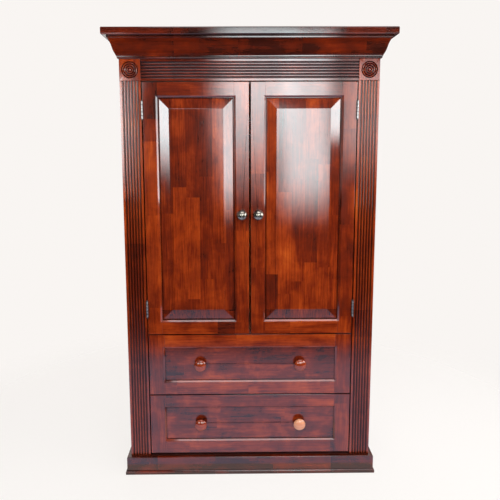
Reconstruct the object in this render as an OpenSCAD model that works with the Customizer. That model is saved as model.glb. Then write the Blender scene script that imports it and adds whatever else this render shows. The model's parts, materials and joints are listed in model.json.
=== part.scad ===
// Armoire: two raised-panel doors over two full-width drawers, between fluted
// pilasters, under a reeded frieze and a crown moulding.
// Millimetres, +Z up. The origin is at floor level, under the middle of the whole
// outline, and the doors and drawers face -Y.

/* [Overall] */
// Height from the floor to the upper face of the top board
total_h = 2006; // [1900:1:2150]
// Width across the outer faces of the side panels
body_w = 1114; // [1000:2:1240]
// Depth from the face of the pilasters to the back edge of the sides
body_d = 582; // [500:1:640]
// Thickness of the carcass boards
board_t = 20; // [18:1:22]
// Thickness of the pilasters and the frieze rail
front_t = 22; // [21:1:26]

/* [Cornice] */
// Thickness of the top board
top_t = 31; // [24:1:40]
// How far the top board stands out at the front and at each side
top_over = 60; // [50:1:80]
// Height of the crown moulding
crown_h = 88; // [80:1:110]
// Projection of the crown moulding's top fillet
crown_out = 41; // [38:1:48]

/* [Frieze] */
// Height of the frieze between the crown and the doors
frieze_h = 91; // [86:1:110]
// How far a corner block's face stands proud of the frieze
block_proud = 2; // [1:0.5:4]
// Depth of the turned rings in a corner block
rosette_depth = 4.5; // [2:0.5:6]

/* [Flutes] */
// Width of a pilaster and of the block above it
pilaster_w = 90; // [86:1:110]
// Number of flutes on a pilaster, and of grooves along the frieze
flute_n = 6; // [3:1:6]
// Distance from one flute to the next
flute_pitch = 12.5; // [11:0.5:13]
// Radius of the cutter that makes a flute
flute_r = 5; // [4:0.5:5.5]
// Depth of a flute
flute_depth = 3.5; // [2:0.5:4]

/* [Plinth] */
// Height of the plinth
plinth_h = 82; // [60:1:110]
// Projection of the plinth from the body
plinth_out = 18; // [14:1:22]
// Height of the straight part of the bead at the foot of the plinth
bead_h = 12; // [8:1:20]
// How far that bead stands out past the plinth
bead_out = 6; // [3:1:8]

/* [Doors and drawer fronts] */
// Thickness of the doors and the drawer fronts
leaf_t = 21; // [20:1:21]
// Gap beside the doors and drawer fronts, and between the doors and the frieze
side_gap = 5; // [3:0.5:6]
// Gap between the two doors
middle_gap = 8; // [3:0.5:9]
// Gap between one row of doors or drawers and the next
row_gap = 5; // [3:0.5:6]
// Gap under the lower drawer front
foot_gap = 12.5; // [6:0.5:14]
// Height of a drawer front
drawer_h = 284; // [240:1:300]
// Width of the door stiles and of all the rails
frame_w = 64; // [55:1:75]
// Width of the stiles at the ends of a drawer front
drawer_stile_w = 72; // [60:1:80]
// Width of the sloped edge around the inside of a frame
frame_ease = 7; // [2:0.5:8]
// Width of the slope round the raised field of a door panel
bevel_w = 48; // [35:1:60]
// Depth of the flat panel behind the face of a drawer front
drawer_recess = 11; // [9:0.5:11.5]

/* [Knobs] */
// Height of the door knobs above the floor
door_knob_z = 1219; // [1100:1:1300]
// Radius of a door knob
door_knob_r = 23; // [15:1:26]
// Distance of a drawer knob from the middle of its drawer
drawer_knob_x = 229; // [180:1:300]
// Radius of a drawer knob
drawer_knob_r = 27.5; // [18:0.5:30]

/* [Inside] */
// Height of the underside of the hat shelf
shelf_z = 1620; // [1560:1:1650]
// Thickness of the hat shelf
shelf_t = 18; // [15:1:22]
// Radius of the garment rail
rail_r = 12.5; // [10:0.5:15]
// Distance from the underside of the hat shelf down to the garment rail's middle
rail_drop = 45; // [40:1:60]

/* [Hidden] */
$fn = 48;
cut = 1;                                  // how far a cutter runs past the face it opens

// Depth: the top board stands out at the front only, and the outline is centred on Y
front_y = -(body_d + top_over) / 2 + top_over;
back_y = front_y + body_d;
carcass_y = front_y + front_t;            // front edge of the carcass boards
leaf_back_y = front_y + leaf_t;           // back face of the doors and drawer fronts
half_w = body_w / 2;
inside_x = half_w - board_t;              // inner face of a side panel
opening_x = half_w - pilaster_w;          // inner edge of a pilaster

// Heights
top_z = total_h - top_t;
crown_z = top_z - crown_h;
frieze_z = crown_z - frieze_h;
lower_z = plinth_h + foot_gap;
upper_z = lower_z + drawer_h + row_gap;
door_z = upper_z + drawer_h + row_gap;
door_top_z = frieze_z - side_gap;
door_h = door_top_z - door_z;
bottom_z = lower_z - board_t;
divider_z = upper_z - row_gap / 2 - board_t / 2;
floor_z = door_z - row_gap / 2 - board_t / 2;
ceiling_z = door_top_z - 6;               // the doors stop against its front edge

// Carcass
back_t = 8;                               // thickness of the back sheets
back_stile_w = 80;
back_stile_t = 12;
back_sheet_y = back_y - back_stile_t - back_t;
rebate_w = 10;                            // width of the rebate that holds a back sheet
sheet_gap = 1;

// Doors
door_w = opening_x - side_gap - middle_gap / 2;
door_mid_x = -(middle_gap / 2 + door_w / 2);
door_mid_z = door_z + door_h / 2;
groove_d = 10;                            // depth of the groove that holds a panel
tongue_y = 10.5;                          // front of a door panel's tongue, behind the face
tongue_t = 5.5;
tongue_play = 1.5;                        // room for the panel to move in its groove
field_set = 1;                            // the raised field lies this far behind the face
field_step = 1.6;                         // height of the small step round the field
slope_end = 7;                            // depth at the foot of the long slope round it
tenon_l = 34;
tenon_h = 38;
tenon_edge = 12;                          // from the outer edge of a rail to its tenon

// Hinges
hinge_h = 76;
hinge_inset = 118;                        // from a door's end to the middle of a hinge
knuckle_n = 5;
knuckle_gap = 0.3;
barrel_r = 4;
barrel_set = 4.5;                         // from the door's face forward to the barrel's axis
pin_r = 2;
pin_bore_r = 2.04;
pin_head_r = 3.2;
pin_head_t = 2;
leaf_plate_t = 2;
leaf_plate_d = 19;                        // how far a hinge leaf reaches behind the face
hinge_x = -(opening_x - side_gap / 2);
hinge_y = front_y - barrel_set;
hinge_zs = [door_z + hinge_inset, door_top_z - hinge_inset];

// Screws, catches and shelf fittings
screw_r = 2;
screw_hole_r = 2.2;
screw_bore_r = 2.04;
screw_head_r = 4;
screw_head_t = 2.4;
screw_grip = 13;                          // how far a screw runs into its knob
catch_w = 40;
catch_h = 16;
catch_d = 14;
catch_x = -34;
plate_t = 1.5;
catch_set = 0.6;                          // air between a catch and its plate
peg_r = 4;
peg_l = 12;
pin_hole_r = 2.55;
pin_stem_r = 2.5;
pin_stem_l = 9;
pin_hole_l = 10;
pin_ys = [front_y + 110, back_y - 90];
pin_pitch = 32;
pin_rows = [-3:2];
shelf_play = 2;
rail_wall = 1.5;
rail_y = (carcass_y + back_sheet_y) / 2;
rail_z = shelf_z - rail_drop;
socket_r = 26;
socket_t = 4;
cup_l = 14;
cup_wall = 4;
cup_play = 0.2;

// Drawer boxes
box_half_w = opening_x - 19;
box_t = 15;
box_h = 250;
box_l = 515;
run_play = 0.5;                           // between a drawer's sides and the board below
sheet_t = 6;                              // thickness of a drawer bottom
sheet_lift = 10;                          // height of a drawer bottom above its sides' edges
sheet_in = 6;                             // how far it is let into the sides and ends
flat_panel_t = 7;
guide_gap = 1.5;
guide_w = 18;
guide_h = 30;
guide_set = 6;                            // guides stop this far short at each end
drawer_knob_h = 36;

cherry = [0.42, 0.13, 0.07];
cherry_light = [0.55, 0.2, 0.1];
inner_wood = [0.72, 0.52, 0.34];
steel = [0.7, 0.7, 0.72];
pewter = [0.45, 0.43, 0.41];

// ---- Shapes that several parts share ----

// A board given by its lowest and highest corners
module board(low, high) {
    translate(low) cube(high - low);
}

// A block whose outline steps in or out with depth, mitred at its corners. Each pair of
// the profile is [growth of the half width and half height, distance behind the face].
module mitred_block(w, h, profile, face_y) {
    n = len(profile);
    across = [for (p = profile) [w / 2 + p[0], p[1]]];
    upright = [for (p = profile) [h / 2 + p[0], p[1]]];
    translate([0, face_y, 0]) intersection() {
        linear_extrude(h + body_w, center = true)
            polygon(concat(across, [for (i = [n - 1:-1:0]) [-across[i][0], across[i][1]]]));
        rotate([0, -90, 0]) linear_extrude(w + body_w, center = true)
            polygon(concat(upright, [for (i = [n - 1:-1:0]) [-upright[i][0], upright[i][1]]]));
    }
}

// Points of an arc about c, from angle a0 to a1
function arc(c, r, a0, a1, steps) =
    [for (i = [0:steps]) let (a = a0 + (a1 - a0) * i / steps) c + r * [cos(a), sin(a)]];

// A profile of [projection, height] run along the front, mitred at both corners
module front_moulding(profile, z, h) {
    reach = top_over + cut;
    intersection() {
        translate([half_w + reach, front_y, z]) rotate([90, 0, -90])
            linear_extrude(body_w + 2 * reach) polygon(profile);
        translate([0, front_y, z - cut]) linear_extrude(h + 2 * cut)
            polygon([[-half_w, 0], [-half_w - reach, -reach], [half_w + reach, -reach],
                     [half_w, 0]]);
    }
}

// The same profile run back along the left side from the mitre
module left_moulding(profile, z, h) {
    reach = top_over + cut;
    intersection() {
        translate([-half_w, front_y - reach, z]) rotate([90, 0, 180])
            linear_extrude(body_d + reach) polygon(profile);
        translate([-half_w, front_y, z - cut]) linear_extrude(h + 2 * cut)
            polygon([[0, 0], [-reach, -reach], [-reach, body_d], [0, body_d]]);
    }
}

// ---- Carcass ----

// Side panel with a rebate for the back and rows of shelf-pin holes
module side_panel() {
    difference() {
        board([-half_w, carcass_y, 0], [-inside_x, back_y, top_z]);
        board([-inside_x - rebate_w, back_sheet_y, -cut], [-inside_x + cut, back_y + cut, top_z + cut]);
        for (y = pin_ys, k = pin_rows)
            translate([-inside_x - pin_hole_l, y, shelf_z - peg_r + k * pin_pitch])
                rotate([0, 90, 0]) cylinder(h = pin_hole_l + cut, r = pin_hole_r);
    }
}
module side_panel_left() { color(cherry) side_panel(); }
module side_panel_right() { color(cherry) mirror([1, 0, 0]) side_panel(); }

// A board that spans the carcass from side to side
module cross_board(z) {
    board([-inside_x, carcass_y, z], [inside_x, back_sheet_y, z + board_t]);
}
module carcass_top() { color(inner_wood) cross_board(ceiling_z); }
module cabinet_floor() { color(inner_wood) cross_board(floor_z); }
module drawer_divider() { color(inner_wood) cross_board(divider_z); }
// The lowest one has a lip between the pilasters that closes the gap behind the plinth
module bottom_panel() {
    color(inner_wood) {
        cross_board(bottom_z);
        board([-opening_x, front_y, bottom_z], [opening_x, carcass_y + cut, plinth_h]);
    }
}

// Two sheets that close the back, one behind each door
module back_panels() {
    color(inner_wood) for (side = [0, 1]) mirror([side, 0, 0])
        board([-inside_x - rebate_w, back_sheet_y, bottom_z],
              [-sheet_gap / 2, back_sheet_y + back_t, top_z]);
}

// Upright that covers the meeting edges of the back sheets
module back_stile() {
    color(cherry) board([-back_stile_w / 2, back_y - back_stile_t, 0],
                        [back_stile_w / 2, back_y, top_z]);
}

// ---- Pilasters, frieze, crown, top and plinth ----

// Centres of the flutes, measured from the middle of the piece
flute_at = [for (i = [0:flute_n - 1]) (i - (flute_n - 1) / 2) * flute_pitch];
flute_y = front_y - (flute_r - flute_depth);

module pilaster() {
    difference() {
        board([-half_w, front_y, 0], [-opening_x, carcass_y, frieze_z]);
        for (x = flute_at)
            translate([-half_w + pilaster_w / 2 + x, flute_y, plinth_h])
                cylinder(h = frieze_z, r = flute_r);
        for (z = hinge_zs) leaf_plate(-1, z);
    }
}
module pilaster_left() { color(cherry) pilaster(); }
module pilaster_right() { color(cherry) mirror([1, 0, 0]) pilaster(); }

// Bull's-eye rosette: a button and three turned rings inside a deep outer groove
button_r = 7.2;
ring_pitch = 8.8;
ring_n = 3;
ring_steps = 10;
rosette_r = button_r + ring_n * ring_pitch;
rosette_lip = 2;
function button_depth(r) = rosette_depth * pow(r / button_r, 2);
function ring_depth(r) = rosette_depth * (1 + cos(360 * (r - button_r) / ring_pitch)) / 2;
rosette_profile = concat(
    [for (i = [0:5]) let (r = button_r * i / 6) [r, button_depth(r)]],
    [for (i = [0:ring_n * ring_steps]) let (r = button_r + ring_pitch * i / ring_steps)
        [r, ring_depth(r)]],
    [[rosette_r + rosette_lip, 0], [rosette_r + rosette_lip, -cut], [0, -cut]]);

module corner_block() {
    mid_x = -half_w + pilaster_w / 2;
    mid_z = frieze_z + frieze_h / 2;
    difference() {
        union() {
            board([-half_w, front_y, frieze_z], [-opening_x, carcass_y, top_z]);
            translate([mid_x, 0, mid_z])
                mitred_block(pilaster_w, frieze_h, [[-1, 0], [0, 1], [0, block_proud + cut]],
                             front_y - block_proud);
        }
        translate([mid_x, front_y - block_proud, mid_z]) rotate([-90, 0, 0])
            rotate_extrude($fn = 96) polygon(rosette_profile);
    }
}
module corner_block_left() { color(cherry_light) corner_block(); }
module corner_block_right() { color(cherry_light) mirror([1, 0, 0]) corner_block(); }

// Frieze rail with grooves along its face; it runs up behind the crown
module frieze_rail() {
    color(cherry) difference() {
        board([-opening_x, front_y, frieze_z], [opening_x, carcass_y, top_z]);
        for (z = flute_at)
            translate([-opening_x - cut, flute_y, frieze_z + frieze_h / 2 + z]) rotate([0, 90, 0])
                cylinder(h = 2 * (opening_x + cut), r = flute_r);
    }
}

// Crown: a small bead and fillet, a cyma, and a flat fillet under the top board
crown_bead_r = 4;
cyma_out = 9.5;
cyma_top_out = crown_out - 4;
cyma_z = 13;
cyma_top_z = crown_h - 11;
cyma_steps = 20;
cyma_wave = 0.06;
crown_profile = concat(
    [[0, 0]],
    arc([3, crown_bead_r], crown_bead_r, -90, 90, 8),
    [[cyma_out, 2 * crown_bead_r]],
    [for (i = [0:cyma_steps]) let (s = i / cyma_steps)
        [cyma_out + (cyma_top_out - cyma_out) * (s + cyma_wave * sin(360 * s)),
         cyma_z + (cyma_top_z - cyma_z) * s]],
    [[cyma_top_out + 1, crown_h - 9], [crown_out, crown_h - 9], [crown_out, crown_h],
     [0, crown_h]]);
module crown_front() { color(cherry) front_moulding(crown_profile, crown_z, crown_h); }
module crown_left() { color(cherry) left_moulding(crown_profile, crown_z, crown_h); }
module crown_right() {
    color(cherry) mirror([1, 0, 0]) left_moulding(crown_profile, crown_z, crown_h);
}

// Top board, flush at the back, with rounded arrises
top_round = 5;
top_profile = concat(
    [for (p = arc([-top_round, top_round], top_round, -90, 0, 6)) p],
    [for (p = arc([-top_round, top_t - top_round], top_round, 0, 90, 6)) p]);
module top_board() {
    depth = body_d + top_over;
    color(cherry) translate([0, 0, top_z]) rotate([90, 0, 0])
        mitred_block(body_w + 2 * top_over, depth, top_profile, 0);
}

// Plinth: a board with an eased upper arris and a bead at its foot
plinth_ease = 3;
plinth_profile = concat(
    [[0, 0], [plinth_out + bead_out, 0]],
    arc([plinth_out, bead_h], bead_out, 0, 90, 6),
    arc([plinth_out - plinth_ease, plinth_h - plinth_ease], plinth_ease, 0, 90, 4),
    [[0, plinth_h]]);
module plinth_front() { color(cherry) front_moulding(plinth_profile, 0, plinth_h); }
module plinth_left() { color(cherry) left_moulding(plinth_profile, 0, plinth_h); }
module plinth_right() { color(cherry) mirror([1, 0, 0]) left_moulding(plinth_profile, 0, plinth_h); }

// ---- Inside the wardrobe ----

module hat_shelf() {
    color(inner_wood) board([-inside_x + shelf_play, carcass_y + 10, shelf_z],
                            [inside_x - shelf_play, back_sheet_y - shelf_play, shelf_z + shelf_t]);
}

// Four pegs in the side panels' holes, under the corners of the hat shelf
module shelf_pins() {
    color(steel) for (side = [0, 1], y = pin_ys) mirror([side, 0, 0])
        translate([-inside_x, y, shelf_z - peg_r]) rotate([0, 90, 0]) {
            translate([0, 0, -pin_stem_l]) cylinder(h = pin_stem_l + 1, r = pin_stem_r);
            cylinder(h = peg_l, r = peg_r);
        }
}

module garment_rail() {
    rail_l = 2 * (inside_x - socket_t);
    color(steel) translate([-rail_l / 2, rail_y, rail_z]) rotate([0, 90, 0]) difference() {
        cylinder(h = rail_l, r = rail_r);
        translate([0, 0, -cut]) cylinder(h = rail_l + 2 * cut, r = rail_r - rail_wall);
    }
}

// Cups on the side panels that hold the ends of the garment rail
module rail_sockets() {
    color(steel) for (side = [0, 1]) mirror([side, 0, 0])
        translate([-inside_x, rail_y, rail_z]) rotate([0, 90, 0]) difference() {
            union() {
                cylinder(h = socket_t, r = socket_r);
                cylinder(h = socket_t + cup_l, r = rail_r + cup_wall);
            }
            translate([0, 0, socket_t]) cylinder(h = cup_l + cut, r = rail_r + cup_play);
        }
}

// Strips beside the drawer boxes that keep them straight
module drawer_guides() {
    guide_x = box_half_w + guide_gap;
    color(inner_wood) for (side = [0, 1], z = [bottom_z, divider_z]) mirror([side, 0, 0])
        board([guide_x, carcass_y + guide_set, z + board_t],
              [guide_x + guide_w, back_sheet_y - guide_set, z + board_t + guide_h]);
}

// Magnetic catches under the carcass top, one behind each door
module door_catches() {
    catch_y = leaf_back_y + plate_t + catch_set;
    color(steel) for (side = [0, 1]) mirror([side, 0, 0])
        board([catch_x - catch_w / 2, catch_y, ceiling_z - catch_h],
              [catch_x + catch_w / 2, catch_y + catch_d, ceiling_z]);
}
module catch_plate() {
    color(steel) board([catch_x - catch_w / 2, leaf_back_y, ceiling_z - catch_h],
                       [catch_x + catch_w / 2, leaf_back_y + plate_t, ceiling_z - plate_t]);
}

// ---- Hinges, drawn for the left door: side -1 is on the pilaster, +1 on the door ----

// The flat plate of a hinge leaf, let into the wood
module leaf_plate(side, z) {
    far_x = hinge_x + side * barrel_r;
    near_x = hinge_x + side * side_gap / 2;
    board([min(far_x, near_x), front_y, z - hinge_h / 2],
          [max(far_x, near_x), front_y + leaf_plate_d, z + hinge_h / 2]);
}

// One leaf: its plate, and its knuckles with the strips that carry them
module hinge_leaf(side, z, knuckles) {
    pitch = hinge_h / knuckle_n;
    far_x = hinge_x + side * barrel_r;
    near_x = hinge_x + side * (barrel_r - leaf_plate_t);
    difference() {
        union() {
            leaf_plate(side, z);
            for (k = knuckles) {
                low_z = z - hinge_h / 2 + k * pitch + (k == 0 ? 0 : knuckle_gap / 2);
                high_z = z - hinge_h / 2 + (k + 1) * pitch - (k == knuckle_n - 1 ? 0 : knuckle_gap / 2);
                translate([hinge_x, hinge_y, low_z]) cylinder(h = high_z - low_z, r = barrel_r);
                board([min(far_x, near_x), hinge_y, low_z],
                      [max(far_x, near_x), front_y + cut, high_z]);
            }
        }
        translate([hinge_x, hinge_y, z - hinge_h / 2 - cut])
            cylinder(h = hinge_h + 2 * cut, r = pin_bore_r);
    }
}

module hinge_frame_leaves() {
    color(steel) for (side = [0, 1], z = hinge_zs) mirror([side, 0, 0])
        hinge_leaf(-1, z, [0, 2, 4]);
}
module hinge_pins() {
    color(steel) for (side = [0, 1], z = hinge_zs) mirror([side, 0, 0])
        translate([hinge_x, hinge_y, z - hinge_h / 2]) {
            cylinder(h = hinge_h, r = pin_r);
            for (end_z = [-pin_head_t, hinge_h]) translate([0, 0, end_z])
                cylinder(h = pin_head_t, r = pin_head_r);
        }
}

// ---- Frames that hold a panel, for doors and drawer fronts ----

// A frame of outer size w by h with stiles of width s, centred on X and Z, grooved inside
module panel_frame(w, h, s, groove_y, groove_t) {
    open_w = w - 2 * s;
    open_h = h - 2 * frame_w;
    difference() {
        board([-w / 2, front_y, -h / 2], [w / 2, leaf_back_y, h / 2]);
        mitred_block(open_w, open_h,
                     [[frame_ease + cut, -cut], [0, frame_ease], [0, leaf_t + cut]], front_y);
        board([-open_w / 2 - groove_d, front_y + groove_y, -open_h / 2 - groove_d],
              [open_w / 2 + groove_d, front_y + groove_y + groove_t, open_h / 2 + groove_d]);
    }
}

// The tenons of the two rails, at both ends
module tenons(w, h, s) {
    for (sx = [0, 1], sz = [0, 1]) mirror([sx, 0, 0]) mirror([0, 0, sz])
        board([w / 2 - s, front_y + tongue_y, h / 2 - tenon_edge - tenon_h],
              [w / 2 - s + tenon_l, front_y + tongue_y + tongue_t, h / 2 - tenon_edge]);
}

// The right-hand stile of a frame, mortised for the tenons
module frame_stile(w, h, s, groove_y, groove_t) {
    difference() {
        intersection() {
            panel_frame(w, h, s, groove_y, groove_t);
            board([w / 2 - s, front_y - cut, -h], [w, leaf_back_y + cut, h]);
        }
        tenons(w, h, s);
    }
}

// Both rails of a frame, with their tenons
module frame_rails(w, h, s, groove_y, groove_t) {
    intersection() {
        panel_frame(w, h, s, groove_y, groove_t);
        board([-w / 2 + s, front_y - cut, -h], [w / 2 - s, leaf_back_y + cut, h]);
    }
    tenons(w, h, s);
}

// ---- Doors, drawn for the left one ----

module at_door() { translate([door_mid_x, 0, door_mid_z]) children(); }

module knob_hole(x, z) {
    translate([x, front_y - cut, z]) rotate([-90, 0, 0])
        cylinder(h = leaf_t + 2 * cut, r = screw_hole_r);
}

module door_hinge_stile() {
    color(cherry) difference() {
        at_door() mirror([1, 0, 0]) frame_stile(door_w, door_h, frame_w, tongue_y, tongue_t);
        for (z = hinge_zs) leaf_plate(1, z);
    }
}
door_knob_x = -(middle_gap / 2 + frame_w / 2);
module door_lock_stile() {
    color(cherry) difference() {
        at_door() frame_stile(door_w, door_h, frame_w, tongue_y, tongue_t);
        knob_hole(door_knob_x, door_knob_z);
    }
}
module door_rails() {
    color(cherry) at_door() frame_rails(door_w, door_h, frame_w, tongue_y, tongue_t);
}

// Raised and fielded panel: field, small step, long slope, short steep edge, and tongue
module door_panel() {
    color(cherry_light) at_door()
        mitred_block(door_w - 2 * frame_w, door_h - 2 * frame_w,
                     [[-bevel_w, field_set], [-bevel_w, field_set + field_step],
                      [-7, slope_end], [-2, tongue_y], [groove_d - tongue_play, tongue_y],
                      [groove_d - tongue_play, tongue_y + tongue_t]], front_y);
}

module door_hinge_leaves() { color(steel) for (z = hinge_zs) hinge_leaf(1, z, [1, 3]); }

// A knob profile is [radius, height above the face]
door_knob_h = 42;
door_ball_r = 18;
door_knob_profile = concat(
    [[0, 0], [11, 0], [11, 2], [8, 4]],
    [for (a = [-66:12:90]) [door_knob_r * cos(a), door_knob_h - door_ball_r + door_ball_r * sin(a)]]);
drawer_dome_h = 13;
drawer_knob_profile = concat(
    [[0, 0], [12, 0], [12, 2]],
    arc([16, 9], 7.5, 200, 120, 6),
    [[drawer_knob_r - 3, drawer_knob_h - drawer_dome_h - 2]],
    [for (a = [0:9:90]) [drawer_knob_r * cos(a), drawer_knob_h - drawer_dome_h + drawer_dome_h * sin(a)]]);

// A turned knob that stands out to the front from the plane face_y
module knob(profile, x, z, face_y) {
    translate([x, face_y, z]) rotate([90, 0, 0]) difference() {
        rotate_extrude() polygon(profile);
        translate([0, 0, -cut]) cylinder(h = screw_grip + 2 * cut, r = screw_bore_r);
    }
}
// Its screw, from a head on the plane back_face_y
module knob_screw(x, z, face_y, back_face_y) {
    translate([x, back_face_y, z]) rotate([90, 0, 0]) {
        cylinder(h = back_face_y - face_y + screw_grip, r = screw_r);
        translate([0, 0, -screw_head_t]) cylinder(h = screw_head_t, r = screw_head_r);
    }
}
module door_knob() { color(pewter) knob(door_knob_profile, door_knob_x, door_knob_z, front_y); }
module door_knob_screw() { color(steel) knob_screw(door_knob_x, door_knob_z, front_y, leaf_back_y); }

module on_right() { mirror([1, 0, 0]) children(); }

// ---- Drawers, drawn for a front whose lower edge is at z ----

drawer_w = 2 * (opening_x - side_gap);
panel_face_y = front_y + drawer_recess;
// Lower edge of a drawer's box: just clear of the board that it runs on
function box_z(z) = (z == lower_z ? bottom_z : divider_z) + board_t + run_play;
box_back_y = leaf_back_y + box_l;

module at_drawer(z) { translate([0, 0, z + drawer_h / 2]) children(); }

module drawer_stiles(z) {
    color(cherry) at_drawer(z) for (side = [0, 1]) mirror([side, 0, 0])
        frame_stile(drawer_w, drawer_h, drawer_stile_w, drawer_recess, flat_panel_t);
}
module drawer_rails(z) {
    color(cherry) at_drawer(z)
        frame_rails(drawer_w, drawer_h, drawer_stile_w, drawer_recess, flat_panel_t);
}
module drawer_panel(z) {
    grow = 2 * (groove_d - tongue_play);
    w = drawer_w - 2 * drawer_stile_w + grow;
    h = drawer_h - 2 * frame_w + grow;
    color(cherry_light) difference() {
        at_drawer(z) board([-w / 2, panel_face_y, -h / 2], [w / 2, panel_face_y + flat_panel_t, h / 2]);
        for (side = [-1, 1]) knob_hole(side * drawer_knob_x, z + drawer_h / 2);
    }
}
module drawer_sheet(z) {
    low_z = box_z(z) + sheet_lift;
    board([-box_half_w + box_t - sheet_in, leaf_back_y + box_t - sheet_in, low_z],
          [box_half_w - box_t + sheet_in, box_back_y - box_t + sheet_in, low_z + sheet_t]);
}
module drawer_bottom(z) { color(inner_wood) drawer_sheet(z); }
module drawer_sides(z) {
    color(inner_wood) difference() {
        for (side = [0, 1]) mirror([side, 0, 0])
            board([box_half_w - box_t, leaf_back_y, box_z(z)], [box_half_w, box_back_y, box_z(z) + box_h]);
        drawer_sheet(z);
    }
}
// Front and back of the box, between its sides
module drawer_ends(z) {
    color(inner_wood) difference() {
        for (y = [leaf_back_y, box_back_y - box_t])
            board([-box_half_w + box_t, y, box_z(z)], [box_half_w - box_t, y + box_t, box_z(z) + box_h]);
        drawer_sheet(z);
        for (side = [-1, 1]) knob_hole(side * drawer_knob_x, z + drawer_h / 2);
        for (side = [-1, 1]) translate([0, box_t, 0]) knob_hole(side * drawer_knob_x, z + drawer_h / 2);
    }
}
module drawer_knobs(z) {
    color(cherry) for (side = [-1, 1])
        knob(drawer_knob_profile, side * drawer_knob_x, z + drawer_h / 2, panel_face_y);
}
module drawer_knob_screws(z) {
    color(steel) for (side = [-1, 1])
        knob_screw(side * drawer_knob_x, z + drawer_h / 2, panel_face_y, leaf_back_y + box_t);
}

side_panel_left();
side_panel_right();
carcass_top();
cabinet_floor();
drawer_divider();
bottom_panel();
back_panels();
back_stile();
pilaster_left();
pilaster_right();
corner_block_left();
corner_block_right();
frieze_rail();
crown_front();
crown_left();
crown_right();
top_board();
plinth_front();
plinth_left();
plinth_right();
hat_shelf();
shelf_pins();
garment_rail();
rail_sockets();
drawer_guides();
door_catches();
hinge_frame_leaves();
hinge_pins();
door_hinge_stile();  // left_door_hinge_stile
door_lock_stile();  // left_door_lock_stile
door_rails();  // left_door_rails
door_panel();  // left_door_panel
door_hinge_leaves();  // left_door_hinge_leaves
door_knob();  // left_door_knob
door_knob_screw();  // left_door_knob_screw
catch_plate();  // left_door_catch_plate
on_right() door_hinge_stile();  // right_door_hinge_stile
on_right() door_lock_stile();  // right_door_lock_stile
on_right() door_rails();  // right_door_rails
on_right() door_panel();  // right_door_panel
on_right() door_hinge_leaves();  // right_door_hinge_leaves
on_right() door_knob();  // right_door_knob
on_right() door_knob_screw();  // right_door_knob_screw
on_right() catch_plate();  // right_door_catch_plate
drawer_stiles(upper_z);  // upper_drawer_stiles
drawer_rails(upper_z);  // upper_drawer_rails
drawer_panel(upper_z);  // upper_drawer_panel
drawer_sides(upper_z);  // upper_drawer_sides
drawer_ends(upper_z);  // upper_drawer_ends
drawer_bottom(upper_z);  // upper_drawer_bottom
drawer_knobs(upper_z);  // upper_drawer_knobs
drawer_knob_screws(upper_z);  // upper_drawer_knob_screws
drawer_stiles(lower_z);  // lower_drawer_stiles
drawer_rails(lower_z);  // lower_drawer_rails
drawer_panel(lower_z);  // lower_drawer_panel
drawer_sides(lower_z);  // lower_drawer_sides
drawer_ends(lower_z);  // lower_drawer_ends
drawer_bottom(lower_z);  // lower_drawer_bottom
drawer_knobs(lower_z);  // lower_drawer_knobs
drawer_knob_screws(lower_z);  // lower_drawer_knob_screws
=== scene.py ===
import json
import math

import bpy
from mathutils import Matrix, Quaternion, Vector


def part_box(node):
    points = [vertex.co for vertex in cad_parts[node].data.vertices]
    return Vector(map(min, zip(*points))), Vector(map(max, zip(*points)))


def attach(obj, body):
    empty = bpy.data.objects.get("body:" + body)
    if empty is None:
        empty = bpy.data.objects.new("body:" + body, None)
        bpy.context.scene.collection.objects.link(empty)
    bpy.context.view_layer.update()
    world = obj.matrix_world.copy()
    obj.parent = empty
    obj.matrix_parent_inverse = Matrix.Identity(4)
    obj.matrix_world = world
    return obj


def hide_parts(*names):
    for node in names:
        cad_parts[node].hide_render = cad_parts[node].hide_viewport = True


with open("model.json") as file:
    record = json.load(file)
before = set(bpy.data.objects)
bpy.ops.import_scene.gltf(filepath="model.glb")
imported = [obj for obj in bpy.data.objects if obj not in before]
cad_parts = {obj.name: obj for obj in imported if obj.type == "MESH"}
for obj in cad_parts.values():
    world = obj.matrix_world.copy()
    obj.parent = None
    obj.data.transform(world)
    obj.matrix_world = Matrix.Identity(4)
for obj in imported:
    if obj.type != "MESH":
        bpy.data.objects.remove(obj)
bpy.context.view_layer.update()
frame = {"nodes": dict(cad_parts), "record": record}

NODES = frame["nodes"]
SLOT_OF = {s["node"]: s["material_slot"] for s in frame["record"]["subparts"]}

# ---- Camera: where the photographer stood, in the frame's metres ----
CAMERA_AT = (-0.066, -2.535, 1.491)
CAMERA_DOWN = math.radians(7.47)
CAMERA_YAW = math.radians(-0.5)
CAMERA_ROLL = math.radians(0.2)
LENS_MM = 37.3
SHIFT = (0.0209, -0.059)

# ---- Places taken from the CAD nodes, and sizes of the doors' frames ----
FRAME_W = 0.064          # width of a door's stiles and rails
PANEL_SLOPE_W = 0.048    # width of the slope round a door panel's raised field
FACE_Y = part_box("left_door_hinge_stile")[0].y
CARCASS_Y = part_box("side_panel_left")[0].y
BLOCK_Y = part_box("corner_block_left")[0].y
PILASTER_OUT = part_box("pilaster_right")[1].x
PANEL_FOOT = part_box("left_door_hinge_stile")[0].z + FRAME_W + PANEL_SLOPE_W

BACKDROP = (0.947, 0.914, 0.888, 1)      # the pale ground that the camera sees all round


def make_camera():
    data = bpy.data.cameras.new("camera")
    data.lens = LENS_MM
    data.sensor_width = 36
    data.shift_x, data.shift_y = SHIFT
    camera = bpy.data.objects.new("camera", data)
    camera.location = CAMERA_AT
    upright = Quaternion((1, 0, 0), math.radians(90) - CAMERA_DOWN)
    level = Quaternion((0, 0, 1), CAMERA_YAW) @ upright
    camera.rotation_mode = "QUATERNION"
    camera.rotation_quaternion = level @ Quaternion((0, 0, 1), -CAMERA_ROLL)
    bpy.context.scene.collection.objects.link(camera)
    bpy.context.scene.camera = camera


# ---- Node graphs ----

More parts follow.
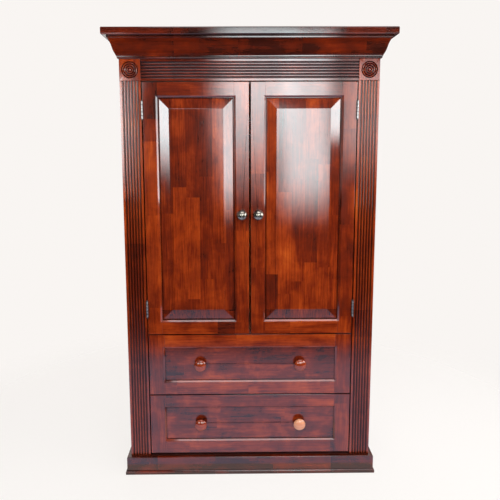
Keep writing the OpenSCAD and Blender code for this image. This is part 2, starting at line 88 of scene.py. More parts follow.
class Graph:
    """A material's or the world's nodes, built with short calls."""

    def __init__(self, owner):
        owner.use_nodes = True
        self.tree = owner.node_tree
        self.tree.nodes.clear()

    def node(self, kind, values=None, **settings):
        made = self.tree.nodes.new(kind)
        for name, value in settings.items():
            setattr(made, name, value)
        for name, value in (values or {}).items():
            self.feed(made.inputs[name], value)
        return made

    def feed(self, socket, value):
        if isinstance(value, bpy.types.NodeSocket):
            self.tree.links.new(value, socket)
        else:
            socket.default_value = value

    def math(self, operation, a, b=0.0, clamp=False):
        made = self.tree.nodes.new("ShaderNodeMath")
        made.operation = operation
        made.use_clamp = clamp
        self.feed(made.inputs[0], a)
        self.feed(made.inputs[1], b)
        return made.outputs[0]

    def sum(self, *terms):
        total = terms[0]
        for term in terms[1:]:
            total = self.math("ADD", total, term)
        return total

    def vector(self, x, y, z):
        return self.node("ShaderNodeCombineXYZ", {"X": x, "Y": y, "Z": z}).outputs[0]

    def noise(self, at, scale, detail=3.0, roughness=0.55, distortion=0.0):
        return self.node("ShaderNodeTexNoise", {
            "Vector": at, "Scale": scale, "Detail": detail, "Roughness": roughness,
            "Distortion": distortion}).outputs[0]

    def random(self, x, y, z):
        return self.node("ShaderNodeTexWhiteNoise", {"Vector": self.vector(x, y, z)},
                         noise_dimensions="3D").outputs

    def span(self, value, low, high, to_low=0.0, to_high=1.0, smooth=False):
        return self.node("ShaderNodeMapRange", {
            "Value": value, "From Min": low, "From Max": high, "To Min": to_low,
            "To Max": to_high}, clamp=True,
            interpolation_type="SMOOTHSTEP" if smooth else "LINEAR").outputs[0]

    def ramp(self, value, stops):
        made = self.node("ShaderNodeValToRGB", {"Fac": value})
        elements = made.color_ramp.elements
        while len(elements) < len(stops):
            elements.new(0.5)
        for element, (place, colour) in zip(elements, stops):
            element.position = place
            element.color = (*colour, 1)
        return made.outputs["Color"]

    def mix(self, factor, a, b, blend="MIX"):
        made = self.node("ShaderNodeMix", data_type="RGBA", blend_type=blend)
        self.feed(made.inputs[0], factor)
        self.feed(made.inputs[6], a)
        self.feed(made.inputs[7], b)
        return made.outputs[2]

    def surface(self, shader):
        out = self.node("ShaderNodeOutputMaterial")
        self.tree.links.new(shader.outputs[0], out.inputs["Surface"])


def material(name):
    return bpy.data.materials.new(name)


# ---- Wood ----

CHERRY = [(0.0, (0.006, 0.0018, 0.0013)), (0.28, (0.030, 0.0045, 0.0022)),
          (0.50, (0.098, 0.0090, 0.0018)), (0.72, (0.225, 0.027, 0.0034)),
          (1.0, (0.42, 0.085, 0.010))]
# The knobs reach a paler, barely stained wood at the end of the scale
KNOB_CHERRY = CHERRY[:-1] + [(0.84, CHERRY[-1][1]), (1.0, (0.47, 0.185, 0.090))]
PALE = [(0.0, (0.20, 0.105, 0.05)), (0.35, (0.42, 0.26, 0.14)), (0.65, (0.56, 0.38, 0.22)),
        (1.0, (0.68, 0.50, 0.32))]

SHADE_REACH = 0.014              # how near a corner has to be for the painted shade to gather
FLUTE_SHADED = (0.0017, 0.0034)  # depths between which a flute or ring is painted dark: painted shade
FLUTE_DARKEST = 0.97
PILASTER_EDGE = 0.004            # the pilasters' outer arris stays clear of the painted flute shade
LIPPING_DEPTH = 0.012            # dark front edge of the pale boards inside

# Pieces of the frames that are lighter or darker than the rest: x from, to, z from, to, how much
STILE_TONES = [(-0.47, -0.39, 1.54, 1.80, -0.08), (-0.47, -0.39, 0.67, 1.54, 0.08),
               (-0.08, -0.003, 0.67, 1.80, 0.09), (0.003, 0.08, 0.67, 1.80, 0.03),
               (0.39, 0.47, 1.44, 1.80, 0.08), (0.39, 0.47, 0.67, 1.44, 0.05)]
RAIL_TONES = [(-0.47, -0.2, 1.70, 1.80, -0.09), (0.0, 0.47, 0.67, 0.75, 0.19),
              (-0.47, 0.47, 0.60, 0.67, 0.12), (-0.47, 0.47, 0.38, 0.45, 0.04)]
PALE_KNOB = [(0.1, 0.4, 0.1, 0.38, 0.36)]
# Painted light: the pilasters lighter above and darker towards the floor, where less light falls
PILASTER_PAINTED_LIGHT = [(-0.6, -0.4, 1.09, 2.0, 0.06), (-0.6, -0.4, -0.1, 1.09, -0.05),
                  (0.4, 0.6, 0.78, 2.0, 0.07), (0.4, 0.6, -0.1, 0.78, -0.05)]
# Painted shade: the door panels' bottom slopes, which face down, are darkened
PANEL_PAINTED_SHADE = [(-0.47, 0.47, 0.70, PANEL_FOOT, -0.13)]

# Which axes run along, across and into the wood, for each way the grain can go
GRAIN_AXES = {"z": (2, 0, 1), "x": (0, 2, 1), "y": (1, 2, 0), "flat_x": (0, 1, 2)}


def wood(name, grain, colours, stave=0.06, stave_from=0.0, block=0.35, seed=0.0, lift=0.0,
         block_tone=0.20, figure=0.65, blotch=0.60, streak=0.42, gloss=True, lipping=False,
         painted_shade=(SHADE_REACH, 0.40, 0.95, 0.92), peel=0.10, tones=(), sunk_from=None):
    """Edge-glued staves of short blocks, each with its own tone, under a lacquer, with shade
    painted into grooves and corners.
    """
    made = material(name)
    g = Graph(made)
    at = g.node("ShaderNodeTexCoord").outputs["Object"]
    axes = g.node("ShaderNodeSeparateXYZ", {"Vector": at}).outputs
    along, across, depth = (axes[i] for i in GRAIN_AXES[grain])

    # Which stave and block a point is in, and that block's own random numbers
    stave_no = g.math("FLOOR", g.math("DIVIDE", g.math("SUBTRACT", across, stave_from), stave))
    shift = g.random(stave_no, seed, 3.7)["Value"]
    block_no = g.math("FLOOR", g.sum(g.math("DIVIDE", along, block),
                                     g.math("MULTIPLY", shift, 9.0)))
    chance = g.random(stave_no, block_no, seed)
    tone = chance["Value"]
    other = g.node("ShaderNodeSeparateColor", {"Color": chance["Color"]}).outputs
    jump = g.math("MULTIPLY", other["Green"], 7.0)

    # Streaks and pores drawn out along the grain, a broad figure, and blotches of stain
    a = g.sum(across, jump)
    streaks = g.noise(g.vector(g.math("MULTIPLY", a, 150.0), g.math("MULTIPLY", depth, 150.0),
                               g.math("MULTIPLY", g.sum(along, jump), 6.0)), 1.0, 4.0, 0.62, 0.3)
    fine = g.noise(g.vector(g.math("MULTIPLY", a, 620.0), g.math("MULTIPLY", depth, 620.0),
                            g.math("MULTIPLY", g.sum(along, jump), 26.0)), 1.0, 2.0, 0.6)
    broad = g.noise(g.vector(g.math("MULTIPLY", a, 17.0), g.math("MULTIPLY", depth, 17.0),
                             g.math("MULTIPLY", g.sum(along, jump), 3.2)), 1.0, 3.0, 0.6, 0.5)
    stain = g.noise(at, 8.5, 4.0, 0.62, 0.4)
    dashes = g.noise(g.vector(g.math("MULTIPLY", a, 330.0), g.math("MULTIPLY", depth, 330.0),
                              g.math("MULTIPLY", g.sum(along, jump), 55.0)), 1.0, 1.0, 0.5)
    pores = g.span(dashes, 0.66, 0.80)

    value = g.sum(0.5 + lift,
                  g.math("MULTIPLY", g.math("SUBTRACT", tone, 0.5), block_tone),
                  g.math("MULTIPLY", g.math("SUBTRACT", streaks, 0.5), streak),
                  g.math("MULTIPLY", g.math("SUBTRACT", fine, 0.5), streak * 0.4),
                  g.math("MULTIPLY", g.math("SUBTRACT", broad, 0.5), figure),
                  g.math("MULTIPLY", g.math("SUBTRACT", stain, 0.5), blotch))
    for x_from, x_to, z_from, z_to, amount in tones:
        here = g.math("MULTIPLY", g.span(axes[0], x_from, x_from + 0.0005, 0.0, amount),
                      g.math("LESS_THAN", axes[0], x_to))
        level = g.math("MULTIPLY", g.math("GREATER_THAN", axes[2], z_from),
                       g.math("LESS_THAN", axes[2], z_to))
        value = g.sum(value, g.math("MULTIPLY", here, level))
    colour = g.ramp(value, colours)
    colour = g.mix(g.math("MULTIPLY", pores, min(0.50, 1.1 * streak)), colour, (*colours[0][1], 1))

    # Painted shade: darker in grooves and corners, where an ambient-occlusion mask finds them
    reach, closed, open_to, most = painted_shade
    open_air = g.node("ShaderNodeAmbientOcclusion", {"Distance": reach}, samples=6).outputs["AO"]
    shade_mask = g.span(open_air, closed, open_to, most if gloss else 0.45, 0.0)
    # Painted shade in the bottoms of the flutes and turned rings, by depth behind the face
    if sunk_from is not None:
        deep = g.span(axes[1], *(sunk_from + d for d in FLUTE_SHADED), 0.0, FLUTE_DARKEST)
        inboard = g.math("LESS_THAN", g.math("ABSOLUTE", axes[0]), PILASTER_OUT - PILASTER_EDGE)
        shade_mask = g.math("MAXIMUM", shade_mask, g.math("MULTIPLY", deep, inboard))
    colour = g.mix(shade_mask, colour, (*colours[0][1], 1))
    if lipping:
        edge = g.math("LESS_THAN", axes[1], CARCASS_Y + LIPPING_DEPTH)
        colour = g.mix(edge, colour, (*CHERRY[1][1], 1))

    relief = g.sum(g.math("MULTIPLY", streaks, 0.5), g.math("MULTIPLY", fine, 0.35),
                   g.math("MULTIPLY", pores, -0.5))
    bump = g.node("ShaderNodeBump", {"Strength": 0.16 if gloss else 0.3, "Distance": 0.0006,
                                     "Height": relief}).outputs[0]
    orange_peel = g.noise(at, 70.0, 2.0)
    coat_relief = g.sum(g.math("MULTIPLY", pores, -0.3), g.math("MULTIPLY", fine, 0.12),
                        g.math("MULTIPLY", orange_peel, 0.6))
    coat_bump = g.node("ShaderNodeBump", {"Strength": peel, "Distance": 0.0006,
                                          "Height": coat_relief}).outputs[0]
    finish = {
        "Roughness": g.span(streaks, 0.3, 0.7, 0.26, 0.40),
        "Specular IOR Level": 0.02,
        # Less lacquer where the shade is painted, so the grooves stay dark
        "Coat Weight": g.math("MULTIPLY", g.span(pores, 0.0, 1.0, 1.0, 0.65),
                              g.span(shade_mask, 0.2, 1.0, 1.0, 0.35)),
        "Coat Roughness": 0.07,
    } if gloss else {
        "Roughness": g.span(streaks, 0.3, 0.7, 0.42, 0.6),
        "Specular IOR Level": 0.4,
        "Coat Weight": 0.15,
        "Coat Roughness": 0.35,
    }
    shader = g.node("ShaderNodeBsdfPrincipled", {
        "Base Color": colour, "Normal": bump, "Coat Normal": coat_bump, "Coat IOR": 1.6,
        **finish})
    g.surface(shader)
    return made


# ---- Metals ----

HINGE_LOW, HINGE_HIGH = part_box("hinge_pins")
HINGE_H, PIN_HEAD, KNUCKLES = 0.076, 0.002, 5


def knuckle_gap_shade(g, at):
    """1 in the gaps between the knuckles of a hinge, where shade is painted, 0 on them."""
    z = g.node("ShaderNodeSeparateXYZ", {"Vector": at}).outputs[2]
    upper = g.math("GREATER_THAN", z, (HINGE_LOW.z + HINGE_HIGH.z) / 2)
    start = g.span(upper, 0.0, 1.0, HINGE_LOW.z + PIN_HEAD,
                   HINGE_HIGH.z - PIN_HEAD - HINGE_H)
    place = g.math("DIVIDE", g.math("SUBTRACT", z, start), HINGE_H / KNUCKLES)
    from_edge = g.math("ABSOLUTE", g.math("SUBTRACT", g.math("FRACT", place), 0.5))
    return g.span(from_edge, 0.38, 0.46)


def metal(name, light, dark, roughness, scale, knuckles=False):
    """Worn metal, clouded between a light and a dark tone."""
    made = material(name)
    g = Graph(made)
    at = g.node("ShaderNodeTexCoord").outputs["Object"]
    cloud = g.noise(at, scale, 4.0, 0.6)
    fine = g.noise(at, scale * 9, 2.0, 0.6)
    colour = g.mix(g.span(cloud, 0.35, 0.65), (*dark, 1), (*light, 1))
    # Painted shade: the gaps between the hinge knuckles are painted near black
    if knuckles:
        colour = g.mix(knuckle_gap_shade(g, at), colour, (0.006, 0.005, 0.005, 1))
    bump = g.node("ShaderNodeBump", {"Strength": 0.08, "Distance": 0.0002,
                                     "Height": fine}).outputs[0]
    g.surface(g.node("ShaderNodeBsdfPrincipled", {
        "Base Color": colour, "Metallic": 1.0, "Normal": bump,
        "Roughness": g.span(cloud, 0.3, 0.7, roughness * 0.8, roughness * 1.3)}))
    return made


MATERIALS = {
    "stile": wood("stile_wood", "z", CHERRY, stave=0.12, block=0.42, seed=2.0, block_tone=0.06,
                  lift=0.0, tones=STILE_TONES),
    "rail": wood("rail_wood", "x", CHERRY, stave=0.1445, stave_from=0.092, block=0.33, seed=5.0,
                 block_tone=0.12, lift=0.01, tones=RAIL_TONES),
    "panel": wood("panel_wood", "z", CHERRY, stave=0.058, stave_from=0.01, block=0.46, seed=1.0,
                  lift=0.045, block_tone=0.20, blotch=0.50, streak=0.5, figure=0.55,
                  tones=PANEL_PAINTED_SHADE),
    "drawer_panel": wood("drawer_panel_wood", "x", CHERRY, stave=0.052, stave_from=0.0025,
                         block=0.30, seed=8.0, block_tone=0.03, blotch=0.9, figure=0.7, lift=-0.03),
    "pilaster": wood("pilaster_wood", "z", CHERRY, stave=0.1, stave_from=0.46, block=0.5,
                     seed=3.0, block_tone=0.12, lift=0.12, streak=0.12, tones=PILASTER_PAINTED_LIGHT,
                     figure=0.4, blotch=0.5, peel=0.02, sunk_from=FACE_Y),
    # Painted shade: the mouldings and the top get a darker base (negative lift) for the crown and
    # slab, which face down away from the light; the plinth shares it
    "moulding_x": wood("moulding_wood_x", "x", CHERRY, stave=0.2, stave_from=0.0, block=0.27,
                       seed=6.0, block_tone=0.05, figure=0.7, lift=-0.13, streak=0.25),
    "moulding_y": wood("moulding_wood_y", "y", CHERRY, stave=0.2, stave_from=0.0, block=0.27,
                       seed=6.5, block_tone=0.05, figure=0.7, lift=-0.13, streak=0.25),
    "top": wood("top_wood", "flat_x", CHERRY, stave=0.07, stave_from=0.0, block=0.45, seed=9.0,
                lift=-0.22, streak=0.3, figure=0.6, blotch=0.6),
    "frieze": wood("frieze_wood", "x", CHERRY, stave=0.2, stave_from=1.7, block=0.5, seed=7.0,
                   block_tone=0.12, lift=0.0, streak=0.12, figure=0.5, blotch=0.6, peel=0.02,
                   sunk_from=FACE_Y),
    "side_y": wood("side_panel_wood", "z", CHERRY, stave=0.07, block=0.5, seed=4.0),
    "board": wood("board_wood", "flat_x", PALE, stave=0.06, block=0.5, seed=11.0, gloss=False,
                  lipping=True),
    "back": wood("back_wood", "z", PALE, stave=0.19, block=4.0, seed=12.0, gloss=False,
                 block_tone=0.1),
    "box_y": wood("box_wood_y", "y", PALE, stave=0.3, block=3.0, seed=13.0, gloss=False,
                  block_tone=0.1),
    "box_x": wood("box_wood_x", "x", PALE, stave=0.3, block=3.0, seed=14.0, gloss=False,
                  block_tone=0.1),
    "block": wood("block_wood", "z", CHERRY, stave=0.5, stave_from=-0.25, block=5.0, seed=3.0,
                  block_tone=0.1, lift=0.04, blotch=0.5, painted_shade=(0.006, 0.3, 0.9, 0.6),
                  sunk_from=BLOCK_Y),
    "knob": wood("knob_wood", "x", KNOB_CHERRY, stave=0.1445, stave_from=0.092, block=0.45,
                 seed=5.5, block_tone=0.1, blotch=0.1, figure=0.2, lift=0.14, tones=PALE_KNOB),
    "pewter": metal("pewter", (0.31, 0.274, 0.232), (0.12, 0.103, 0.083), 0.25, 60),
    "hinge": metal("hinge_nickel", (0.38, 0.37, 0.36), (0.20, 0.19, 0.185), 0.36, 90,
                   knuckles=True),
    "chrome": metal("rail_chrome", (0.72, 0.72, 0.74), (0.66, 0.66, 0.68), 0.12, 20),
    "zinc": metal("zinc", (0.62, 0.62, 0.60), (0.45, 0.45, 0.43), 0.35, 150),
}


def material_of(node):
    slot = SLOT_OF[node]
    if slot == "pewter":
        return "pewter"
    if slot == "hinge_steel":
        return "hinge"
    if slot == "rail_chrome":
        return "chrome"
    if slot == "zinc_screw":
        return "zinc"
    if slot == "inner_wood":
        if node == "back_panels":
            return "back"
        if node == "drawer_guides" or node.endswith("_sides"):
            return "box_y"
        if node.endswith("_ends"):
            return "box_x"
        return "board"
    if node.startswith("side_panel"):
        return "side_y"
    if node.startswith(("pilaster", "corner_block", "back_stile")):
        return "pilaster"
    if node == "top_board":
        return "top"
    if node in ("crown_left", "crown_right", "plinth_left", "plinth_right"):
        return "moulding_y"
    if node == "frieze_rail":
        return "frieze"
    if slot == "cherry_moulding":
        return "moulding_x"
    if node.endswith("_door_panel"):
        return "panel"
    if node.endswith("_drawer_panel"):
        return "drawer_panel"
    if node.endswith(("_rails", "_knobs")):
        return "rail"
    return "stile"


def smooth_by_angle(degrees):
    """A modifier's node group that smooths the shading over edges flatter than this."""
    group = bpy.data.node_groups.new("smooth_below_%d" % degrees, "GeometryNodeTree")
    group.interface.new_socket("Geometry", in_out="INPUT", socket_type="NodeSocketGeometry")
    group.interface.new_socket("Geometry", in_out="OUTPUT", socket_type="NodeSocketGeometry")
    nodes, links = group.nodes, group.links
    source, target = nodes.new("NodeGroupInput"), nodes.new("NodeGroupOutput")
    faces = nodes.new("GeometryNodeSetShadeSmooth")
    faces.domain = "FACE"
    edges = nodes.new("GeometryNodeSetShadeSmooth")
    edges.domain = "EDGE"
    edges.inputs["Shade Smooth"].default_value = False
    angle = nodes.new("GeometryNodeInputMeshEdgeAngle")
    sharp = nodes.new("FunctionNodeCompare")
    sharp.data_type = "FLOAT"
    sharp.operation = "GREATER_THAN"
    sharp.inputs[1].default_value = math.radians(degrees)
    links.new(source.outputs[0], faces.inputs["Geometry"])
    links.new(faces.outputs[0], edges.inputs["Geometry"])
    links.new(angle.outputs["Unsigned Angle"], sharp.inputs[0])
    links.new(sharp.outputs[0], edges.inputs["Selection"])
    links.new(edges.outputs[0], target.inputs[0])
    return group


SMOOTH = {degrees: smooth_by_angle(degrees) for degrees in (3, 12, 25, 35)}


def dress(obj, key, bevel=0.0005, smooth_below=3):
    obj.data.materials.clear()
    obj.data.materials.append(MATERIALS[key])
    weld = obj.modifiers.new("weld", "WELD")
    weld.merge_threshold = 1e-6
    if bevel:
        ease = obj.modifiers.new("ease", "BEVEL")
        ease.width = bevel
        ease.segments = 2
        ease.limit_method = "ANGLE"
        ease.angle_limit = math.radians(40)
        ease.use_clamp_overlap = True
        ease.harden_normals = False
    smooth = obj.modifiers.new("smooth", "NODES")
    smooth.node_group = SMOOTH[smooth_below]
    if smooth_below > 3:
        flat = obj.modifiers.new("keep_flats_flat", "WEIGHTED_NORMAL")
        flat.mode = "FACE_AREA"
        flat.weight = 60
        flat.keep_sharp = True


def bevel_of(node):
    slot = SLOT_OF[node]
    if slot in ("rail_chrome", "zinc_screw", "hinge_steel", "pewter"):
        return 0.0003
    if node.startswith(("corner_block", "crown", "pilaster")):
        return 0.0004
    return 0.0007


def smoothing_of(node):
    if node.startswith(("pilaster", "frieze")):
        return 12
    if node.startswith(("corner_block", "crown", "plinth", "top_board", "shelf_pins", "garment",
                        "rail_sockets", "hinge")) or node.endswith(("leaves", "knob", "knobs",
                                                                    "screw", "screws")):
        return 35
    return 3


for name, obj in NODES.items():
    dress(obj, material_of(name), bevel_of(name), smoothing_of(name))


# ---- Turned pieces, drawn finer than the CAD ----

def add_piece(name, verts, faces, key, body, replaced, bevel=0.0, smooth_below=35):
    mesh = bpy.data.meshes.new(name)
    mesh.from_pydata(verts, [], faces)
    mesh.validate()
    obj = bpy.data.objects.new(name, mesh)
    bpy.context.scene.collection.objects.link(obj)
    dress(obj, key, bevel, smooth_below)
    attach(obj, body)
    if replaced:
        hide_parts(replaced)
    return obj


def lathe(profile, at, steps=72):
    """Points and faces of a shape turned about -Y; a profile pair is (radius, height in front)."""
    verts, faces, rings = [], [], []
    for radius, height in profile:
        start = len(verts)
        if radius < 1e-7:
            verts.append((at[0], at[1] - height, at[2]))
            rings.append([start] * steps)
            continue
        for i in range(steps):
            a = math.tau * i / steps
            verts.append((at[0] + radius * math.cos(a), at[1] - height,
                          at[2] + radius * math.sin(a)))
        rings.append(list(range(start, start + steps)))
    for low, high in zip(rings, rings[1:]):
        for i in range(steps):
            k = (i + 1) % steps
            face = []
            for v in (low[i], low[k], high[k], high[i]):
                if v not in face:
                    face.append(v)
            faces.append(tuple(face))
    return verts, faces


def together(*parts):
    verts, faces = [], []
    for some_verts, some_faces in parts:
        base = len(verts)
        verts += some_verts
        faces += [tuple(base + i for i in f) for f in some_faces]
    return verts, faces


def arc(cx, cy, r, a0, a1, steps, squash=1.0):
    return [(cx + r * math.cos(math.radians(a0 + (a1 - a0) * i / steps)),
             cy + squash * r * math.sin(math.radians(a0 + (a1 - a0) * i / steps)))
            for i in range(steps + 1)]


def middle(node):
    low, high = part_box(node)
    return (low + high) / 2


def scaled(profile):
    return [(r / 1000, h / 1000) for r, h in profile]


# Outlines in millimetres: a flange, a neck, then the metal knob's ball or the wooden one's cap
DOOR_KNOB = scaled([(0, 0), (11, 0)] + arc(10.2, 1.0, 0.8, 0, 90, 4)
                   + arc(11.5, 4.6, 3.5, 250, 170, 8)
                   + arc(0, 24, 23, -66, 0, 16, 18 / 23) + arc(0, 24, 23, 0, 90, 24, 18 / 23))
DRAWER_KNOB = scaled([(0, 0), (12, 0), (12, 1.2)] + arc(11.2, 1.2, 0.8, 0, 80, 3)
                     + arc(17, 9, 7.5, 215, 130, 10) + [(22, 17.6), (24.8, 20.4)]
                     + arc(24.5, 23, 3.0, -40, 0, 5) + arc(0, 23, 27.5, 2, 90, 30, 13 / 27.5))

for side in ("left", "right"):
    node = side + "_door_knob"
    low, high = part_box(node)
    verts, faces = lathe(DOOR_KNOB, (middle(node).x, high.y, middle(node).z))
    add_piece(side + "_knob", verts, faces, "pewter", side + "_door", node)
for level in ("upper", "lower"):
    node = level + "_drawer_knobs"
    low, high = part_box(node)
    radius = (high.z - low.z) / 2
    spots = [(x, high.y, (low.z + high.z) / 2) for x in (low.x + radius, high.x - radius)]
    verts, faces = together(*(lathe(DRAWER_KNOB, spot) for spot in spots))
    add_piece(level + "_wooden_knobs", verts, faces, "knob", level + "_drawer",
              node)


# Bull's-eye blocks: three turned rings round a button, inside a deep groove, in millimetres
BUTTON_R, RING_PITCH, RING_N, RING_DEPTH, GROOVE_LIP = 7.2, 8.8, 3, 4.5, 2.0
ROSETTE_R = BUTTON_R + RING_N * RING_PITCH + GROOVE_LIP


def rosette_depth(r):
    if r < BUTTON_R:
        return RING_DEPTH * (r / BUTTON_R) ** 2
    if r < BUTTON_R + RING_N * RING_PITCH:
        return RING_DEPTH * (1 + math.cos(math.tau * (r - BUTTON_R) / RING_PITCH)) / 2
    return RING_DEPTH * (1 - ((r - ROSETTE_R + GROOVE_LIP) / GROOVE_LIP) ** 1.5)


def block_piece(side):
    node = "corner_block_" + side
    low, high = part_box(node)
    frieze_low, frieze_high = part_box("pilaster_" + side)[1].z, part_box("crown_front")[0].z
    mid = Vector(((low.x + high.x) / 2, 0, (frieze_low + frieze_high) / 2))
    steps, n = 96, 66
    radii = [ROSETTE_R * i / n for i in range(n + 1)]
    profile = scaled([(r, -rosette_depth(r)) for r in radii])
    verts, faces = lathe(profile, (mid.x, low.y, mid.z), steps)
    rim = list(range(len(verts) - steps, len(verts)))

    # From the rim out to the square edge of the raised face, then back to the block's body
    half_x, half_z = (high.x - low.x) / 2, (frieze_high - frieze_low) / 2
    rings = [rim]
    for inset, y in ((0.0012, low.y), (0.0004, low.y + 0.0004), (0.0, low.y + 0.0012),
                     (0.0, high.y)):
        start = len(verts)
        for i in range(steps):
            a = math.tau * i / steps
            reach = 1 / max(abs(math.cos(a)) / (half_x - inset),
                            abs(math.sin(a)) / (half_z - inset))
            verts.append((mid.x + reach * math.cos(a), y, mid.z + reach * math.sin(a)))
        rings.append(list(range(start, start + steps)))
    for inner, outer in zip(rings, rings[1:]):
        for i in range(steps):
            k = (i + 1) % steps
            faces.append((inner[i], inner[k], outer[k], outer[i]))
    faces.append(tuple(reversed(rings[-1])))
    # The plain part of the block that runs up behind the crown
    corners = [(x, y, z) for z in (frieze_high, high.z) for x, y in
               ((low.x, FACE_Y), (high.x, FACE_Y), (high.x, high.y), (low.x, high.y))]
    top = (corners, [(0, 3, 2, 1), (4, 5, 6, 7), (0, 1, 5, 4), (1, 2, 6, 5), (2, 3, 7, 6),
                     (3, 0, 4, 7)])
    verts, faces = together((verts, faces), top)
    add_piece("bullseye_" + side, verts, faces, "block", "carcass", node, 0.0, 25)


for side in ("left", "right"):
    block_piece(side)

make_camera()


# ---- Light ----

def window(name, centre, across, up, width, height, graph_colour):
    """A glowing rectangle that only reflections and light see."""
    mesh = bpy.data.meshes.new(name)
    across, up = Vector(across) * width / 2, Vector(up) * height / 2
    corners = [-across - up, across - up, across + up, -across + up]
    mesh.from_pydata([Vector(centre) + c for c in corners], [], [(0, 1, 2, 3)])
    obj = bpy.data.objects.new(name, mesh)
    bpy.context.scene.collection.objects.link(obj)
    made = material(name)
    g = Graph(made)
    glow = g.node("ShaderNodeEmission")
    colour, strength = graph_colour(g, g.node("ShaderNodeTexCoord").outputs["Object"])
    g.feed(glow.inputs["Color"], colour)
    g.feed(glow.inputs["Strength"], strength)
    back = g.node("ShaderNodeNewGeometry").outputs["Backfacing"]
    both = g.node("ShaderNodeMixShader")
    clear = g.node("ShaderNodeBsdfTransparent")
    g.tree.links.new(back, both.inputs[0])
    g.tree.links.new(glow.outputs[0], both.inputs[1])
    g.tree.links.new(clear.outputs[0], both.inputs[2])
    g.surface(both)
    mesh.materials.append(made)
    obj.visible_camera = False
    obj.visible_shadow = False
    return obj


WALL_Y = FACE_Y - 6.0


def soft_box(g, at, x0, x1, z0, z1, soft_x, soft_low, soft_high):
    """1 inside a rectangle of the wall, falling softly to 0 outside it."""
    axes = g.node("ShaderNodeSeparateXYZ", {"Vector": at}).outputs
    parts = [g.span(axes[0], x0 - soft_x, x0 + soft_x, smooth=True),
             g.span(axes[0], x1 - soft_x, x1 + soft_x, 1.0, 0.0, smooth=True),
             g.span(axes[2], z0 - soft_low, z0 + soft_low, smooth=True),
             g.span(axes[2], z1 - soft_high, z1 + soft_high, 1.0, 0.0, smooth=True)]
    total = parts[0]
    for part in parts[1:]:
        total = g.math("MULTIPLY", total, part)
    return total


def front_wall(g, at):
    """The windows and pale patches of wall behind the photographer."""
    patches = [  # strength, x from, x to, z from, z to, softness in x, below, above
        (11.0, -0.30, 0.80, 1.75, 3.40, 0.30, 0.70, 0.30),
        (11.5, 0.70, 1.45, 0.75, 3.30, 0.20, 0.50, 0.20),
        (2.5, -0.32, 0.60, 0.90, 1.90, 0.15, 0.40, 0.30),
        (16.0, 2.75, 3.70, 1.75, 3.40, 0.08, 0.20, 0.30),
        (4.5, 1.62, 2.75, 1.40, 2.90, 0.20, 0.50, 0.30),
        (16.0, -3.60, -2.40, 1.45, 3.20, 0.08, 0.50, 0.30),
        (11.5, -2.40, -1.70, 1.20, 2.60, 0.16, 0.50, 0.20)]
    strength = 0.0
    for power, *place in patches:
        strength = g.sum(strength, g.math("MULTIPLY", soft_box(g, at, *place), power))
    return (0.88, 0.98, 1.0, 1), strength


window("front_windows", (0.1, WALL_Y, 1.9), (-1, 0, 0), (0, 0, 1), 7.8, 3.8, front_wall)


def floor_sheen(g, at):
    """The cool pale ground before the armoire, as its lacquer mirrors it."""
    forward = g.node("ShaderNodeSeparateXYZ", {"Vector": at}).outputs[1]
    return (0.62, 0.72, 1.0, 1), g.span(forward, -2.05, -1.30, 0.0, 1.4, smooth=True)


window("floor_sheen", (0.0, -1.55, 0.003), (1, 0, 0), (0, 1, 0), 4.4, 2.4, floor_sheen)


def flat_glow(colour, power):
    return lambda g, at: ((*colour, 1), power)


# Even windows and glows: middle, direction across, direction up, width, height, colour, strength
for name, middle_at, across, up, width, height, colour, power in (
        ("right_window", (2.6, -0.9, 1.75), (0, -1, 0), (0, 0, 1), 2.4, 1.5, (0.95, 0.98, 1.0),
         9.0),
        ("left_window", (-2.6, -1.3, 1.75), (0, 1, 0), (0, 0, 1), 1.6, 1.3, (1.0, 0.98, 0.95), 0.7),
        ("ceiling_glow", (0.4, -1.7, 3.1), (1, 0, 0), (0, -1, 0), 2.2, 1.4, (0.93, 0.95, 1.0), 5.0),
        ("back_glow", (0.0, 3.0, 2.0), (1, 0, 0), (0, 0, 1), 3.0, 2.0, (1.0, 0.98, 0.95), 1.2)):
    window(name, middle_at, across, up, width, height, flat_glow(colour, power))


def fill_light(name, at, aim, width, height, watts, colour):
    """A large soft light that isn't seen in reflections."""
    data = bpy.data.lights.new(name, "AREA")
    data.shape = "RECTANGLE"
    data.size, data.size_y = width, height
    data.energy = watts
    data.color = colour
    obj = bpy.data.objects.new(name, data)
    obj.location = at
    obj.rotation_mode = "QUATERNION"
    obj.rotation_quaternion = (Vector(aim) - Vector(at)).to_track_quat("-Z", "Y")
    obj.visible_glossy = False
    bpy.context.scene.collection.objects.link(obj)


fill_light("front_fill", (0.3, -3.6, 1.9), (0, 0, 1.0), 2.6, 2.0, 46, (1.0, 0.97, 0.93))
fill_light("back_fill", (-0.6, 3.4, 2.4), (0, 0, 1.0), 2.6, 2.0, 70, (1.0, 0.98, 0.95))


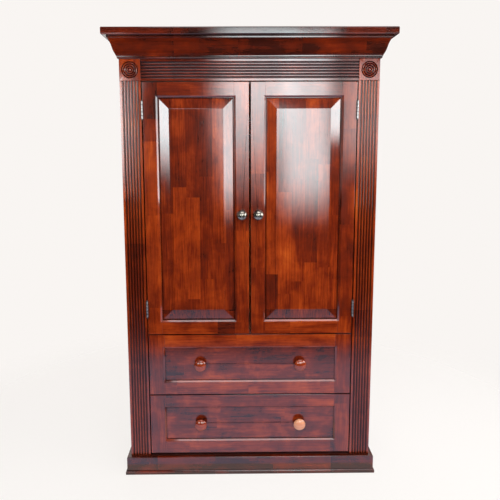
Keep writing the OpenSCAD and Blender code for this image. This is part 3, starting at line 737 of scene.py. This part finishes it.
def make_world():
    """The camera sees the pale backdrop; the lacquer sees a dark room with a pale ceiling."""
    world = bpy.data.worlds.new("studio")
    g = Graph(world)
    camera_ray = g.node("ShaderNodeLightPath").outputs["Is Camera Ray"]
    towards = g.node("ShaderNodeTexCoord").outputs["Generated"]
    up = g.node("ShaderNodeSeparateXYZ", {"Vector": towards}).outputs[2]
    room = g.ramp(g.span(up, -1.0, 1.0), [
        (0.0, (0.03, 0.03, 0.035)), (0.46, (0.012, 0.011, 0.011)), (0.60, (0.012, 0.010, 0.010)),
        (0.78, (0.25, 0.25, 0.26)), (1.0, (0.35, 0.35, 0.36))])
    seen = g.mix(camera_ray, room, BACKDROP)
    sky = g.node("ShaderNodeBackground", {"Color": seen, "Strength": 1.0})
    out = g.node("ShaderNodeOutputWorld")
    g.tree.links.new(sky.outputs[0], out.inputs["Surface"])
    bpy.context.scene.world = world


make_world()
bpy.context.scene.view_settings.view_transform = "Standard"


# ---- Floor: pale, fading into the background ----

FLOOR_R, FLOOR_STEPS, FLOOR_FADE = 2.2, 96, (1.5, 2.1)


def make_floor():
    mesh = bpy.data.meshes.new("floor")
    ring = [(FLOOR_R * math.cos(a), FLOOR_R * math.sin(a), 0.0)
            for a in (math.tau * i / FLOOR_STEPS for i in range(FLOOR_STEPS))]
    mesh.from_pydata(ring, [], [tuple(range(FLOOR_STEPS))])
    floor = bpy.data.objects.new("floor", mesh)
    bpy.context.scene.collection.objects.link(floor)
    made = material("pale_floor")
    g = Graph(made)
    at = g.node("ShaderNodeTexCoord").outputs["Object"]
    radius = g.node("ShaderNodeVectorMath", {0: at}, operation="LENGTH").outputs["Value"]
    grain = g.noise(at, 60.0, 3.0)
    lit = g.node("ShaderNodeBsdfDiffuse", {
        "Color": g.mix(grain, (0.10, 0.095, 0.09, 1), (0.12, 0.115, 0.11, 1))})
    glow = g.node("ShaderNodeEmission", {"Color": BACKDROP, "Strength": 0.87})
    both = g.node("ShaderNodeAddShader")
    g.tree.links.new(lit.outputs[0], both.inputs[0])
    g.tree.links.new(glow.outputs[0], both.inputs[1])
    clear = g.node("ShaderNodeBsdfTransparent")
    fade = g.node("ShaderNodeMixShader", {0: g.span(radius, *FLOOR_FADE, smooth=True)})
    g.tree.links.new(both.outputs[0], fade.inputs[1])
    g.tree.links.new(clear.outputs[0], fade.inputs[2])
    g.surface(fade)
    mesh.materials.append(made)


make_floor()
